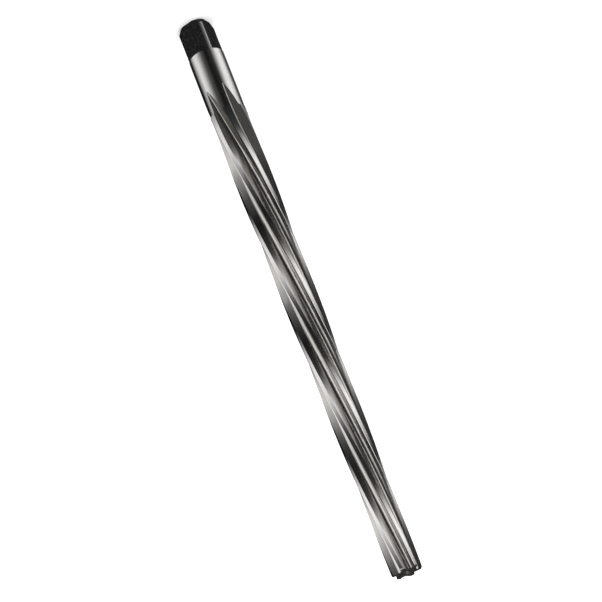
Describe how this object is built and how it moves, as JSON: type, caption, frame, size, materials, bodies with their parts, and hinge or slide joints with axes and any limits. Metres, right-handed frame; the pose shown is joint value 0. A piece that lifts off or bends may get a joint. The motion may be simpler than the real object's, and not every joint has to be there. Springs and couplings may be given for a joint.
{
  "type": "hand taper reamer",
  "caption": "Long hand taper reamer: left-hand helical flutes on a slow taper, bright plain shank and a black drive square.",
  "frame": {"origin": "centre of the drive square's end face, on the tool's axis", "axes": "+Z along the axis from the drive square to the tip; X and Y are square to the flats of the drive square"},
  "size_m": [0.016, 0.0158, 0.255],
  "materials": {
    "ground_steel": "ground high-speed steel, with a black oxide finish on the drive square"
  },
  "bodies": {
    "root": {"reamer": "ground_steel"}
  },
  "joints": []
}
